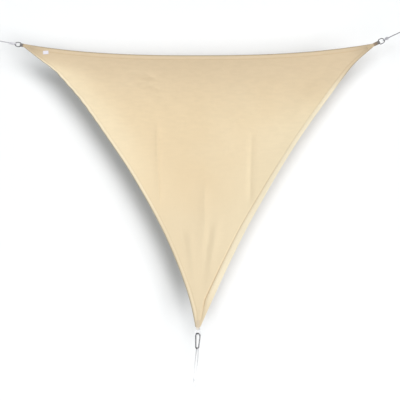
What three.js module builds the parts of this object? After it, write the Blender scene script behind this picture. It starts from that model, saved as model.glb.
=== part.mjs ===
// A triangular shade sail, strung upright by ropes at its three corners.
//
// Lengths are millimetres and +Z is up. The sail's face looks along -Y, X runs from its left
// corner to its right one, and the origin is the middle of the cloth's top edge.
// Each corner has a frame of its own: x points out of the cloth, along the pull of the rope,
// y lies across it in the sail's plane, and z points out of the face.
import * as THREE from 'three';

const RADIANS = Math.PI / 180;
const GAP = 0.3;                       // between pieces that touch

// ---- driving sizes ---------------------------------------------------------------------

const CLOTH = { field: 2.0, hem: 3.4, billow: 118 };
const HEM = { top: 38, left: 30, right: 42, rightLow: 52, tip: 0.3, step: 1.5 };
const GRID = { rows: 44, columns: 24, hemRows: 3 };
const FLAT_TIP = { from: 150, to: 450 };   // the corners lie flat this far in from their tips

const WEBBING = { width: 28, thickness: 1.6, leg: 58 };
const RING = { wire: 7, inside: 38, depth: 46, corner: 7 };
// The hook's bows by their radii, and its gate from the nose to the hinge, down from the crown.
const HOOK = { wire: 11, length: 129, top: 19, foot: 13, nose: [33, 19], hinge: [85, 11.6], gate: 9.4 };
const ROPE = { diameter: 8, apart: 8.6, pitch: 8.6, turns: 3 };   // apart: two strands' middles
const LABEL = { width: 46, height: 30, thickness: 0.6, x: -1297, z: 24, tilt: 5 };

// x, z: where the cloth ends. heading: the way its rope pulls, in degrees from +X towards +Z.
// width: of the cloth's cut tip. reach: out from there to the ring's bar. twist: the ring's turn
// about the pull, in degrees. eye: out from the tip to where the rope's eye starts.
const CORNERS = {
  left:   { x: -1482, z: 83, heading: 169.5, width: 26, reach: 30, twist: 34, eye: 224 },
  right:  { x: 1486, z: 87, heading: 25.5, width: 26, reach: 57, twist: -16, eye: 268 },
  bottom: { x: -4, z: -2309, heading: -90, width: 42, reach: 18, twist: 38 },
};
const HOOK_TWIST = -22;

// How far each side edge is drawn in from the straight line between its corners.
// along: share of the way down from the upper corner. inset: millimetres.
const LEFT_EDGE = [
  { along: 0, inset: 0 }, { along: 0.07, inset: 72 }, { along: 0.11, inset: 114 },
  { along: 0.16, inset: 142 }, { along: 0.22, inset: 170 }, { along: 0.30, inset: 189 },
  { along: 0.38, inset: 202 }, { along: 0.47, inset: 214 }, { along: 0.56, inset: 212 },
  { along: 0.64, inset: 203 }, { along: 0.72, inset: 184 }, { along: 0.80, inset: 152 },
  { along: 0.88, inset: 107 }, { along: 0.94, inset: 61 }, { along: 1, inset: 0 },
];
const RIGHT_EDGE = [
  { along: 0, inset: 0 }, { along: 0.07, inset: 59 }, { along: 0.13, inset: 82 },
  { along: 0.20, inset: 98 }, { along: 0.28, inset: 115 }, { along: 0.37, inset: 127 },
  { along: 0.47, inset: 128 }, { along: 0.57, inset: 119 }, { along: 0.66, inset: 108 },
  { along: 0.74, inset: 89 }, { along: 0.82, inset: 65 }, { along: 0.90, inset: 37 },
  { along: 1, inset: 0 },
];
const TOP_EDGE = { sag: 97.25, fullness: 2.6 };   // a hollow, a little flatter than a parabola

// Soft folds of the cloth, each along a line from (x1, z1) to (x2, z2). A positive height
// stands out of the face; width is how far from its line a fold has faded.
const FOLDS = [
  { x1: -358, z1: -560, x2: -336, z2: -1270, width: 34, height: 7 },    // left hanging crease
  { x1: 459, z1: -640, x2: 439, z2: -1270, width: 30, height: -6 },     // right hanging crease
  { x1: 54, z1: -1080, x2: 50, z2: -1640, width: 46, height: 7 },
  { x1: -154, z1: -1440, x2: -46, z2: -2180, width: 40, height: -11 },
  { x1: -78, z1: -1500, x2: -22, z2: -2200, width: 34, height: 9 },
  { x1: 90, z1: -1440, x2: 26, z2: -2200, width: 38, height: -12 },
  { x1: 164, z1: -1380, x2: 50, z2: -2150, width: 36, height: 8 },
  { x1: -1316, z1: 10, x2: -626, z2: -330, width: 90, height: -9 },     // pulls from the left
  { x1: -1276, z1: -50, x2: -746, z2: -560, width: 70, height: 8 },
  { x1: 1344, z1: 20, x2: 654, z2: -300, width: 95, height: -8 },       // pulls from the right
  { x1: 1284, z1: -40, x2: 814, z2: -520, width: 70, height: 7 },
  { x1: -606, z1: -150, x2: -366, z2: -190, width: 34, height: 5 },     // small cross wrinkles
  { x1: -586, z1: -260, x2: -326, z2: -330, width: 38, height: -5 },
];

const material = (color, roughness, metalness = 0) =>
  new THREE.MeshStandardMaterial({ color, roughness, metalness });
const MATERIALS = {
  cloth: material(0xe9d5ae, 0.9),
  webbing: material(0x8d7a66, 0.85),
  steel: material(0x9b9ba0, 0.3, 1),
  rope: material(0xdcdbd6, 0.8),
  label: material(0xf2f1f4, 0.7),
};

// ---- small helpers ---------------------------------------------------------------------

const mix = (a, b, share) => a + (b - a) * share;
const clamp = (value, low, high) => Math.min(high, Math.max(low, value));
const ease = (low, high, value) => THREE.MathUtils.smoothstep(value, low, high);

// A smooth curve through a table's rows, read at a given share of the way along.
function insetAt(table, along) {
  const last = table.length - 1;
  const k = along < 1 ? table.findIndex((row) => row.along > along) : last;
  const slope = (row) => {
    const [before, after] = [table[Math.max(row - 1, 0)], table[Math.min(row + 1, last)]];
    return (after.inset - before.inset) / (after.along - before.along);
  };
  const [from, to] = [table[k - 1], table[k]];
  const span = to.along - from.along;
  const t = (along - from.along) / span;
  return (2 * t ** 3 - 3 * t ** 2 + 1) * from.inset + (t ** 3 - 2 * t ** 2 + t) * span * slope(k - 1)
    + (3 * t ** 2 - 2 * t ** 3) * to.inset + (t ** 3 - t ** 2) * span * slope(k);
}

// Points round an arc in the x-y plane, angles in degrees.
function arc(x, y, radius, from, to, steps) {
  return Array.from({ length: steps + 1 }, (_, k) => {
    const angle = mix(from, to, k / steps) * RADIANS;
    return new THREE.Vector3(x + radius * Math.cos(angle), y + radius * Math.sin(angle), 0);
  });
}

// A body that follows a line: a round section carried along a path, closed at both ends.
function rod(points, radius, sides, steps) {
  const section = new THREE.Shape().absarc(0, 0, radius, 0, 2 * Math.PI);
  const extrudePath = new THREE.CatmullRomCurve3(points, false, 'centripetal');
  return new THREE.ExtrudeGeometry(section, {
    steps, extrudePath, curveSegments: sides / 2, bevelEnabled: false,
  });
}

// A body through a row of four-cornered sections, closed at both ends.
function loft(sections) {
  const index = [];
  for (let i = 0; i + 1 < sections.length; i++) {
    for (let k = 0; k < 4; k++) {
      const [a, b] = [4 * i + k, 4 * i + (k + 1) % 4];
      index.push(a, b, b + 4, a, b + 4, a + 4);
    }
  }
  const end = 4 * (sections.length - 1);
  index.push(0, 2, 1, 0, 3, 2, end, end + 1, end + 2, end, end + 2, end + 3);
  const geometry = new THREE.BufferGeometry().setFromPoints(sections.flat());
  geometry.setIndex(index);
  return geometry;
}

const group = new THREE.Group();

function add(name, geometry, look, parent = group) {
  const mesh = new THREE.Mesh(geometry, MATERIALS[look]);
  mesh.name = name;
  parent.add(mesh);
  return mesh;
}

// ---- the cloth -------------------------------------------------------------------------

// The two ends of the cloth's cut tip at a corner, below and above (or left and right of) it.
function tipEnds({ x, z, heading, width }) {
  const across = new THREE.Vector2(-Math.sin(heading * RADIANS), Math.cos(heading * RADIANS));
  const middle = new THREE.Vector2(x, z);
  return [middle.clone().addScaledVector(across, width / 2),
    middle.clone().addScaledVector(across, -width / 2)];
}

const [LEFT_LOW, LEFT_HIGH] = tipEnds(CORNERS.left);
const [RIGHT_HIGH, RIGHT_LOW] = tipEnds(CORNERS.right);
const [FOOT_RIGHT, FOOT_LEFT] = tipEnds(CORNERS.bottom);

// A point of a side edge, height 0 at the bottom corner and 1 at the upper one. inward is the
// unit vector from the edge's chord into the cloth.
function sideEdge(table, high, low, inward, height) {
  const chord = high.clone().sub(low);
  const normal = new THREE.Vector2(chord.y, -chord.x).normalize().multiplyScalar(inward);
  return low.clone().addScaledVector(chord, height)
    .addScaledVector(normal, insetAt(table, 1 - height));
}
const leftEdge = (height) => sideEdge(LEFT_EDGE, LEFT_LOW, FOOT_LEFT, 1, height);
const rightEdge = (height) => sideEdge(RIGHT_EDGE, RIGHT_LOW, FOOT_RIGHT, -1, height);

function topEdge(across) {
  const hollow = TOP_EDGE.sag * (1 - Math.abs(2 * across - 1) ** TOP_EDGE.fullness);
  return new THREE.Vector2().lerpVectors(LEFT_HIGH, RIGHT_HIGH, across)
    .sub(new THREE.Vector2(0, hollow));
}

// The top hem's sewn line, which ends at the lower ends of the two upper tips.
function hemLine(across) {
  const nearTip = 0.07;      // the hem narrows over this share of the row at each end
  const full = ease(0, nearTip, across) * ease(0, nearTip, 1 - across);
  const low = new THREE.Vector2().lerpVectors(LEFT_LOW, RIGHT_LOW, across);
  const high = new THREE.Vector2().lerpVectors(LEFT_HIGH, RIGHT_HIGH, across);
  const hem = mix(high.y - low.y, HEM.top, full);
  return new THREE.Vector2(low.x, topEdge(across).y - hem);
}

// The cloth's outline plane: across runs from the left edge to the right, height from the
// bottom corner to the top hem's sewn line. Rows curve up into that line.
function clothPoint(across, height) {
  const row = new THREE.Vector2().lerpVectors(leftEdge(height), rightEdge(height), across);
  const straight = new THREE.Vector2().lerpVectors(LEFT_LOW, RIGHT_LOW, across);
  return row.add(hemLine(across).sub(straight).multiplyScalar(height ** 2));
}

function foldHeight(fold, x, z) {
  const [dx, dz] = [fold.x2 - fold.x1, fold.z2 - fold.z1];
  const along = ((x - fold.x1) * dx + (z - fold.z1) * dz) / (dx * dx + dz * dz);
  const away = Math.hypot(x - fold.x1 - clamp(along, 0, 1) * dx,
    z - fold.z1 - clamp(along, 0, 1) * dz);
  const fade = ease(-0.12, 0.2, along) * ease(-0.12, 0.2, 1 - along);
  return fold.height * fade * Math.exp(-((away / fold.width) ** 2));
}

// How far the cloth lies behind the plane of its corners: a hollow belly, the folds in it,
// and flat tips. The belly is 1 at its deepest, two thirds of the way up, and 0 at the hems.
function depth(across, height, x, z) {
  const belly = 27 * (1 - height) * height ** 2 * across * (1 - across);
  const folds = FOLDS.reduce((sum, fold) => sum + foldHeight(fold, x, z), 0);
  const inside = Math.min(1, 3 * belly);     // the folds die out towards the hems
  const loose = Object.values(CORNERS).reduce((least, corner) => Math.min(least,
    ease(FLAT_TIP.from, FLAT_TIP.to, Math.hypot(x - corner.x, z - corner.z))), 1);
  return loose * (CLOTH.billow * belly - folds * inside);
}

// A closed sheet from a grid of middle points: front and back faces and a rim round them.
function sheet(rows, columns, pointAt, thicknessAt) {
  const positions = [];
  for (const side of [-1, 1]) {
    for (let i = 0; i <= rows; i++) {
      for (let j = 0; j <= columns; j++) {
        const [x, y, z] = pointAt(i, j);
        positions.push(x, y + side * thicknessAt(i, j) / 2, z);
      }
    }
  }
  const front = (i, j) => i * (columns + 1) + j;
  const back = (vertex) => vertex + (rows + 1) * (columns + 1);
  const index = [];
  for (let i = 0; i < rows; i++) {
    for (let j = 0; j < columns; j++) {
      const [a, b, c, d] = [front(i, j), front(i, j + 1), front(i + 1, j + 1), front(i + 1, j)];
      index.push(a, b, c, a, c, d, back(c), back(b), back(a), back(d), back(c), back(a));
    }
  }
  const rim = [];
  for (let j = 0; j < columns; j++) rim.push(front(0, j));
  for (let i = 0; i < rows; i++) rim.push(front(i, columns));
  for (let j = columns; j > 0; j--) rim.push(front(rows, j));
  for (let i = rows; i > 0; i--) rim.push(front(i, 0));
  rim.forEach((here, k) => {
    const next = rim[(k + 1) % rim.length];
    index.push(here, back(here), back(next), here, back(next), next);
  });
  const geometry = new THREE.BufferGeometry();
  geometry.setAttribute('position', new THREE.Float32BufferAttribute(positions, 3));
  geometry.setIndex(index);
  return geometry;
}

// Shares across a row at which the cloth has a line of points: both hems with the step down
// from them, and the field between. Near the bottom tip a hem takes at most a set share.
function rowLines(height) {
  const width = leftEdge(height).distanceTo(rightEdge(height));
  const slant = 1.17;                        // along a row, a side hem is this much wider
  const rightHem = mix(HEM.rightLow, HEM.right, ease(0.3, 0.6, height));
  const left = Math.min(HEM.left * slant / width, HEM.tip);
  const right = 1 - Math.min(rightHem * slant / width, HEM.tip);
  const step = Math.min(HEM.step / width, HEM.tip / 15);
  const lines = [0, left];
  for (let k = 0; k <= GRID.columns; k++) {
    lines.push(mix(left + step, right - step, k / GRID.columns));
  }
  return [...lines, right, 1];
}

function sail() {
  const columns = GRID.columns + 4;
  const rows = GRID.rows + GRID.hemRows;
  const rowHeight = (i) => 1 - (1 - i / GRID.rows) ** 1.25;    // closer together near the top
  const pointAt = (i, j) => {
    const height = rowHeight(Math.min(i, GRID.rows));
    const across = rowLines(height)[j];
    const point = clothPoint(across, height);
    if (i > GRID.rows) {
      const share = [0, HEM.step / HEM.top, 0.5, 1][i - GRID.rows];
      point.lerp(topEdge(across), share);
    }
    return [point.x, depth(across, height, point.x, point.y), point.y];
  };
  const thicknessAt = (i, j) =>
    (i > GRID.rows || j < 2 || j > columns - 2 ? CLOTH.hem : CLOTH.field);
  add('sail', sheet(rows, columns, pointAt, thicknessAt), 'cloth');
}

// ---- the corners -----------------------------------------------------------------------

function cornerFrame({ x, z, heading }) {
  const frame = new THREE.Group();
  const out = new THREE.Vector3(Math.cos(heading * RADIANS), 0, Math.sin(heading * RADIANS));
  const across = new THREE.Vector3(-out.z, 0, out.x);
  const face = new THREE.Vector3(0, -1, 0);
  frame.setRotationFromMatrix(new THREE.Matrix4().makeBasis(out, across, face));
  frame.position.set(x, 0, z);
  group.add(frame);
  return frame;
}

// A webbing strip folded round the ring's bar, its two legs on the cloth's two faces. Past
// the cloth the strip turns about the pull, as far as the ring is turned.
function tab(name, { reach, twist }, frame) {
  const leg = (CLOTH.hem + WEBBING.thickness) / 2 + GAP;
  const bend = (RING.wire + WEBBING.thickness) / 2 + GAP;
  const clear = 0.8;                         // flat until it is past the cloth's tip
  const line = [[-WEBBING.leg, leg], [clear, leg]];
  for (const share of [0.25, 0.45, 0.65, 0.85]) {
    line.push([reach * share, mix(leg, bend, share)]);
  }
  const back = line.map(([x, z]) => [x, -z]).reverse();
  for (let angle = 90; angle >= -90; angle -= 22.5) {
    const turn = angle * RADIANS;
    line.push([reach + bend * Math.cos(turn), bend * Math.sin(turn)]);
  }
  line.push(...back);
  const sections = line.map(([x, z], k) => {
    const [before, after] = [line[Math.max(0, k - 1)], line[Math.min(line.length - 1, k + 1)]];
    const along = new THREE.Vector2(after[0] - before[0], after[1] - before[1]).normalize();
    const half = WEBBING.thickness / 2;
    const turn = twist * RADIANS * ease(clear, reach - bend, x);
    return [[1, 1], [-1, 1], [-1, -1], [1, -1]].map(([side, face]) =>
      new THREE.Vector3(x - face * half * along.y, side * WEBBING.width / 2,
        z + face * half * along.x).applyAxisAngle(new THREE.Vector3(1, 0, 0), turn));
  });
  add(name, loft(sections), 'webbing', frame);
}

// A D of bent wire: a straight bar in the webbing and a round bow towards the rope.
function ring(name, { reach, twist }, frame) {
  const half = (RING.inside + RING.wire) / 2;
  const points = [
    ...arc(RING.corner, half - RING.corner, RING.corner, 180, 90, 3),
    ...arc(RING.depth - half, 0, half, 90, -90, 14),
    ...arc(RING.corner, RING.corner - half, RING.corner, -90, -180, 3),
  ];
  const path = new THREE.CatmullRomCurve3(points, true, 'centripetal');
  const mesh = add(name, new THREE.TubeGeometry(path, 44, RING.wire / 2, 8, true), 'steel', frame);
  mesh.position.x = reach;
  mesh.rotation.x = twist * RADIANS;
}

// The pear-shaped snap hook on the bottom ring. In its own plane x runs down the hook from
// the crown of its top bow and y points to the gate's side; the spine is straight.
function snapHook(frame) {
  const hook = new THREE.Group();
  hook.position.x = CORNERS.bottom.reach + RING.depth - (RING.wire + HOOK.wire) / 2 - 2 * GAP;
  hook.rotation.x = HOOK_TWIST * RADIANS;
  frame.add(hook);
  const [footX, footY] = [HOOK.length - HOOK.foot, HOOK.foot - HOOK.top];
  const nose = new THREE.Vector3(...HOOK.nose, 0);
  const hinge = new THREE.Vector3(...HOOK.hinge, 0);
  const spine = new THREE.Vector3(mix(HOOK.top, footX, 0.5), -HOOK.top, 0);
  const path = [nose, ...arc(HOOK.top, 0, HOOK.top, 90, 270, 10), spine,
    ...arc(footX, footY, HOOK.foot, -90, 70, 9), hinge];
  add('hook_body', rod(path, HOOK.wire / 2, 10, 48), 'steel', hook);
  const lead = 4 * GAP / nose.distanceTo(hinge);         // the gate stops short at both ends
  const gate = [lead, 0.5, 1 - lead].map((share) => nose.clone().lerp(hinge, share));
  add('hook_gate', rod(gate, HOOK.gate / 2, 10, 4), 'steel', hook);
}

// ---- the ropes -------------------------------------------------------------------------

const RADIUS = ROPE.diameter / 2;
const WRAP = ROPE.diameter + 2 * GAP;       // from a rope's middle to that of its wrapping
const HITCH = { lead: [[14, 0, 0], [12.6, 0, 0], [9.2, 0, 2]], turns: 13 };   // past the ring's bow

// Turns of rope laid round one rope, or round two that lie `apart` from each other.
function turnsOfRope(start, apart) {
  const stepsPerTurn = 12;
  return Array.from({ length: ROPE.turns * stepsPerTurn + 1 }, (_, k) => {
    const angle = 2 * Math.PI * k / stepsPerTurn;
    const flat = clamp(2 * Math.sin(angle), -1, 1) * apart / 2;
    return new THREE.Vector3(start + ROPE.pitch * k / stepsPerTurn,
      WRAP * Math.sin(angle) + flat, -WRAP * Math.cos(angle));
  });
}

// The hitch that ties an upper rope to its ring: from the standing rope's end through the
// ring, back, three turns round the standing rope, and a short free end.
function hitch(name, { reach, twist }, frame) {
  const round = RING.wire / 2 + RADIUS + 3 * GAP;
  const seat = arc(0, 0, round, 50, 270, 5).map(({ x, y }) => [x, 0, y]);
  const turns = turnsOfRope(HITCH.turns, 0);
  const end = turns[turns.length - 1].x;
  const route = [...HITCH.lead, ...seat, [HITCH.turns / 2, 0, -WRAP]]
    .map((point) => new THREE.Vector3(...point));
  const tail = [[end + 9, 4, -WRAP - 1], [end + 19, 5, -WRAP - 3]]
    .map((point) => new THREE.Vector3(...point));
  const mesh = add(name, rod([...route, ...turns, ...tail], RADIUS, 8, 66), 'rope', frame);
  mesh.position.x = reach + RING.depth;
  mesh.rotation.x = twist * RADIANS;
}

// An upper rope runs straight out of its hitch and turns back in an eye. Points are in the
// corner's frame, x measured from where the eye's knot starts.
const EYE_ROUTE = [
  [0, 0], [16, 0], [31, 0.1], [40, 2.4], [49, 8], [59, 13.6], [70, 14.6], [79, 9.2], [82.5, -4.3],
  [79, -17.8], [70, -23.2], [59, -22.2], [49, -16.6], [40, -11], [31, -8.7], [16, -8.6], [2, -8.6],
];

function upperRope(side, corner, frame) {
  const start = corner.reach + RING.depth + HITCH.lead[0][0] + 2 * GAP;
  const straight = [0, 0.25, 0.5, 0.75].map((share) => mix(start, corner.eye, share))
    .map((x) => new THREE.Vector3(x, 0, 0));
  const eye = EYE_ROUTE.map(([x, y]) => new THREE.Vector3(corner.eye + x, y, 0));
  add(`rope_${side}`, rod([...straight, ...eye], RADIUS, 8, 34), 'rope', frame);
  const knot = add(`knot_${side}`, rod(turnsOfRope(0, ROPE.apart), RADIUS, 8, 46), 'rope', frame);
  knot.position.set(corner.eye + 1, -ROPE.apart / 2, 0);
}

// The bottom rope is doubled: from the middle of its turn over the hook's foot it runs down
// the right strand, round the eye, up the left strand and back over the foot.
const BOTTOM_ROUTE = [
  [-9.2, -3.1, -2481.9], [-6.6, -10.0, -2484.2], [-4.3, -16.4, -2491.2], [-2.6, -18.0, -2500],
  [-1.6, -16.6, -2520], [-2.2, -12.0, -2545], [-3.8, -6.0, -2572], [-6.2, -1.6, -2602],
  [-9.0, 0, -2635], [-12.6, 0, -2672], [-17.4, 0, -2710], [-22.2, 0, -2742],
  [-25, 0, -2776], [-20.4, 0, -2787], [-12.6, 0, -2797], [-9.8, 0, -2809], [-13, 0, -2821],
  [-21, 0, -2828.5], [-30.6, 0, -2830], [-40, 0, -2826], [-47.6, 0, -2817], [-49.6, 0, -2805],
  [-45.6, 0, -2794], [-38.2, 0, -2786], [-33.9, 0, -2776],
  [-30.8, 0, -2742], [-31.2, 0, -2710], [-31.4, 0, -2672], [-29.6, 0, -2635],
  [-26.8, 1.6, -2602], [-23.4, 6.2, -2572], [-20.4, 10.6, -2545], [-18.0, 13.6, -2520],
  [-16.2, 14.2, -2500], [-14.9, 12.4, -2491.2], [-12.6, 6.2, -2484.2], [-10, -0.9, -2481.9],
];
const BOTTOM_KNOT = { x: -26.9, z: -2746, heading: -94.9 };

function bottomRope() {
  const route = BOTTOM_ROUTE.map((point) => new THREE.Vector3(...point));
  add('rope_bottom', rod(route, RADIUS, 8, 72), 'rope');
  const knot = rod(turnsOfRope(0, ROPE.apart), RADIUS, 8, 46);
  add('knot_bottom', knot, 'rope', cornerFrame(BOTTOM_KNOT));
}

// ---- the label -------------------------------------------------------------------------

// A blank strip sewn at the top hem's line, flat on the face of the cloth.
function label() {
  const { width, height, thickness, x, z, tilt } = LABEL;
  const mesh = add('label', new THREE.BoxGeometry(width, thickness, height), 'label');
  mesh.position.set(x, -(CLOTH.hem + thickness) / 2 - GAP, z);
  mesh.rotation.y = -tilt * RADIANS;
}

// ---- the whole sail --------------------------------------------------------------------

sail();
label();
for (const [side, corner] of Object.entries(CORNERS)) {
  const frame = cornerFrame(corner);
  tab(`tab_${side}`, corner, frame);
  ring(`ring_${side}`, corner, frame);
  if (side === 'bottom') {
    snapHook(frame);
  } else {
    hitch(`hitch_${side}`, corner, frame);
    upperRope(side, corner, frame);
  }
}
bottomRope();

export default group;
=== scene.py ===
"""A triangular shade sail hung upright: knitted cloth with turned hems, webbing tabs, D-rings,
a snap hook and twisted rope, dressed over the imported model.

Metres, +Z up. The sail's face looks along -Y and the origin is the middle of its top edge.
At each corner x points out along the rope's pull, y across it in the sail's plane, z out of
the face."""
import math
from collections import namedtuple

import bpy
from mathutils import Matrix, Vector, noise


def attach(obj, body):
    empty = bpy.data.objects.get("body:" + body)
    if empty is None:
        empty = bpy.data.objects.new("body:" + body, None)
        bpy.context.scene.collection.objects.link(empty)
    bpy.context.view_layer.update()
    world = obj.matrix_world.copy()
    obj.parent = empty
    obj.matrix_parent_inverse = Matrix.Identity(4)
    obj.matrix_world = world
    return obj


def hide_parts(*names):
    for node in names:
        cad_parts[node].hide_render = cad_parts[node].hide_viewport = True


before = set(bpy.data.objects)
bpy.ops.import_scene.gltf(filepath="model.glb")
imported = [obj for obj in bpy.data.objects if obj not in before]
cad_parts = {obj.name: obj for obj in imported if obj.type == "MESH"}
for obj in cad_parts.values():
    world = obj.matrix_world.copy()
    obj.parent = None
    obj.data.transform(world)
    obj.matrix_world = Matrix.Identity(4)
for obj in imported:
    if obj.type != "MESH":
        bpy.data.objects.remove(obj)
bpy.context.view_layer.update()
GAP = 0.0003                                 # between pieces that touch

# ---- driving sizes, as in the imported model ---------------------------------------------

Corner = namedtuple("Corner", "x z heading width reach twist eye")
CORNERS = {
    "left": Corner(-1.482, 0.083, 169.5, 0.026, 0.030, 34, 0.224),
    "right": Corner(1.486, 0.087, 25.5, 0.026, 0.057, -16, 0.268),
    "bottom": Corner(-0.004, -2.309, -90, 0.042, 0.018, 38, 0),
}
FIELD, HEM_THICK, BILLOW = 0.0014, 0.0034, 0.118
HEM_TOP, HEM_LEFT, HEM_RIGHT, HEM_RIGHT_LOW = 0.038, 0.030, 0.042, 0.052
HEM_STEP, HEM_SLANT, HEM_TIP = 0.0015, 1.17, 0.3
TOP_SAG, TOP_FULLNESS = 0.09725, 2.6
FLAT_TIP = (0.150, 0.450)

# How far a side edge is drawn in from the straight line between its corners.
Inset = namedtuple("Inset", "along metres")
LEFT_EDGE = [Inset(*row) for row in (
    (0, 0), (0.07, 0.072), (0.11, 0.114), (0.16, 0.142), (0.22, 0.170), (0.30, 0.189),
    (0.38, 0.202), (0.47, 0.214), (0.56, 0.212), (0.64, 0.203), (0.72, 0.184), (0.80, 0.152),
    (0.88, 0.107), (0.94, 0.061), (1, 0))]
RIGHT_EDGE = [Inset(*row) for row in (
    (0, 0), (0.07, 0.059), (0.13, 0.082), (0.20, 0.098), (0.28, 0.115), (0.37, 0.127),
    (0.47, 0.128), (0.57, 0.119), (0.66, 0.108), (0.74, 0.089), (0.82, 0.065), (0.90, 0.037),
    (1, 0))]

# Folds and creases along lines from (x1, z1) to (x2, z2). A positive height stands out of the
# face; width is how far from its line a fold has faded.
Fold = namedtuple("Fold", "x1 z1 x2 z2 width height")
FOLDS = [Fold(*row) for row in (
    (-0.358, -0.560, -0.336, -1.270, 0.034, 0.007),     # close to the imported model's soft folds
    (0.459, -0.640, 0.439, -1.270, 0.030, -0.006),
    (0.054, -1.080, 0.050, -1.640, 0.046, 0.007),
    (-0.154, -1.440, -0.046, -2.180, 0.040, -0.011),
    (-0.078, -1.500, -0.022, -2.200, 0.034, 0.009),
    (0.090, -1.440, 0.026, -2.200, 0.038, -0.009),
    (0.164, -1.380, 0.050, -2.150, 0.036, 0.008),
    (-1.316, 0.010, -0.626, -0.330, 0.090, -0.009),
    (-1.276, -0.050, -0.746, -0.560, 0.070, 0.008),
    (1.344, 0.020, 0.654, -0.300, 0.095, -0.008),
    (1.284, -0.040, 0.814, -0.520, 0.070, 0.007),
    (-0.606, -0.150, -0.366, -0.190, 0.034, 0.005),
    (-0.586, -0.260, -0.326, -0.330, 0.038, -0.005),
)]
CREASES = [Fold(*row) for row in (
    (-0.352, -0.590, -0.334, -1.250, 0.013, 0.0060),    # pressed lines from being packed flat
    (-0.334, -0.800, -0.318, -1.300, 0.012, -0.0042),
    (0.456, -0.680, 0.440, -1.250, 0.011, -0.0016),
    (0.474, -0.700, 0.458, -1.200, 0.011, 0.0014),
    (0.052, -1.120, 0.056, -1.560, 0.014, 0.0016),
    (-0.470, -0.140, -0.360, -0.200, 0.012, 0.0032),    # cross wrinkles at the upper left
    (-0.520, -0.200, -0.380, -0.215, 0.011, -0.0026),
    (-0.440, -0.240, -0.330, -0.290, 0.011, 0.0030),
    (-0.560, -0.300, -0.420, -0.335, 0.012, -0.0026),
    (-0.400, -0.330, -0.300, -0.350, 0.010, 0.0028),
    (-0.620, -0.250, -0.520, -0.275, 0.010, 0.0026),
    (-0.500, -0.375, -0.400, -0.400, 0.011, 0.0026),
    (0.030, -0.430, 0.150, -0.437, 0.012, 0.0016),
    (-0.130, -1.560, -0.090, -1.900, 0.015, -0.0008),   # streaks towards the bottom corner
    (0.070, -1.600, 0.052, -2.020, 0.012, -0.0006),
    (-0.020, -1.950, -0.014, -2.180, 0.010, 0.0018),
)]

RING_WIRE, RING_INSIDE, RING_DEPTH, RING_CORNER = 0.007, 0.038, 0.046, 0.007
HOOK_WIRE, HOOK_LENGTH, HOOK_TOP, HOOK_FOOT, HOOK_GATE = 0.011, 0.129, 0.019, 0.013, 0.0094
HOOK_NOSE, HOOK_HINGE, HOOK_TWIST = (0.033, 0.019), (0.085, 0.0116), -22
RIVET, RIVET_PROUD = 0.0042, 0.0012
TAB_WIDTH, TAB_THICK, TAB_LEG = 0.028, 0.0016, 0.058
ROPE, STRANDS_APART, TURN_PITCH, TURNS = 0.008, 0.0086, 0.0086, 3
WRAP = ROPE + 2 * GAP
HITCH_LEAD, HITCH_TURNS = ((0.014, 0, 0), (0.0126, 0, 0), (0.0092, 0, 0.002)), 0.013
LABEL_SIZE, LABEL_AT, LABEL_TILT = (0.046, 0.030, 0.0006), (-1.297, 0.024), 5


# ---- small helpers ---------------------------------------------------------------------

def mix(a, b, share):
    return a + (b - a) * share


def clamp(value, low=0.0, high=1.0):
    return min(high, max(low, value))


def ease(low, high, value):
    share = clamp((value - low) / (high - low))
    return share * share * (3 - 2 * share)


def fading(distance, reach):
    """A bell curve: 1 at no distance, about a third at its reach."""
    return math.exp(-((distance / reach) ** 2))


def domed(share):
    """A rod end's share of its full radius, from its tip at 0 to its shoulder at 1."""
    return math.sqrt(1 - (1 - clamp(share)) ** 2)


def linear(red, green, blue):
    """A screen colour of 0 to 255 a channel as the shader's linear one."""
    def channel(value):
        share = value / 255
        return share / 12.92 if share <= 0.04045 else ((share + 0.055) / 1.055) ** 2.4
    return (channel(red), channel(green), channel(blue), 1.0)


def spline(points, step):
    """Evenly spaced points on a centripetal Catmull-Rom curve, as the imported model's."""
    points = [Vector(point) for point in points]
    ends = [2 * points[0] - points[1], *points, 2 * points[-1] - points[-2]]
    dense = []
    for k in range(1, len(ends) - 2):
        p0, p1, p2, p3 = ends[k - 1:k + 3]
        t1 = math.sqrt(max((p1 - p0).length, 1e-6))
        t2 = t1 + math.sqrt(max((p2 - p1).length, 1e-6))
        t3 = t2 + math.sqrt(max((p3 - p2).length, 1e-6))
        for i in range(16):
            t = mix(t1, t2, i / 16)
            a1 = p0.lerp(p1, t / t1)
            a2 = p1.lerp(p2, (t - t1) / (t2 - t1))
            a3 = p2.lerp(p3, (t - t2) / (t3 - t2))
            b1 = a1.lerp(a2, t / t2)
            b2 = a2.lerp(a3, (t - t1) / (t3 - t1))
            dense.append(b1.lerp(b2, (t - t1) / (t2 - t1)))
    dense.append(points[-1])
    return evenly(dense, step)


def evenly(points, step):
    """The same line with points `step` apart, or a little less."""
    lengths = [0.0]
    for before, after in zip(points, points[1:]):
        lengths.append(lengths[-1] + (after - before).length)
    count = max(2, math.ceil(lengths[-1] / step))
    spaced, k = [], 0
    for i in range(count + 1):
        goal = lengths[-1] * i / count
        while k < len(points) - 2 and lengths[k + 1] < goal:
            k += 1
        span = max(lengths[k + 1] - lengths[k], 1e-9)
        spaced.append(points[k].lerp(points[k + 1], (goal - lengths[k]) / span))
    return spaced


def arc(x, y, radius, start, end, steps):
    turns = [math.radians(mix(start, end, k / steps)) for k in range(steps + 1)]
    return [Vector((x + radius * math.cos(a), y + radius * math.sin(a), 0)) for a in turns]


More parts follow.
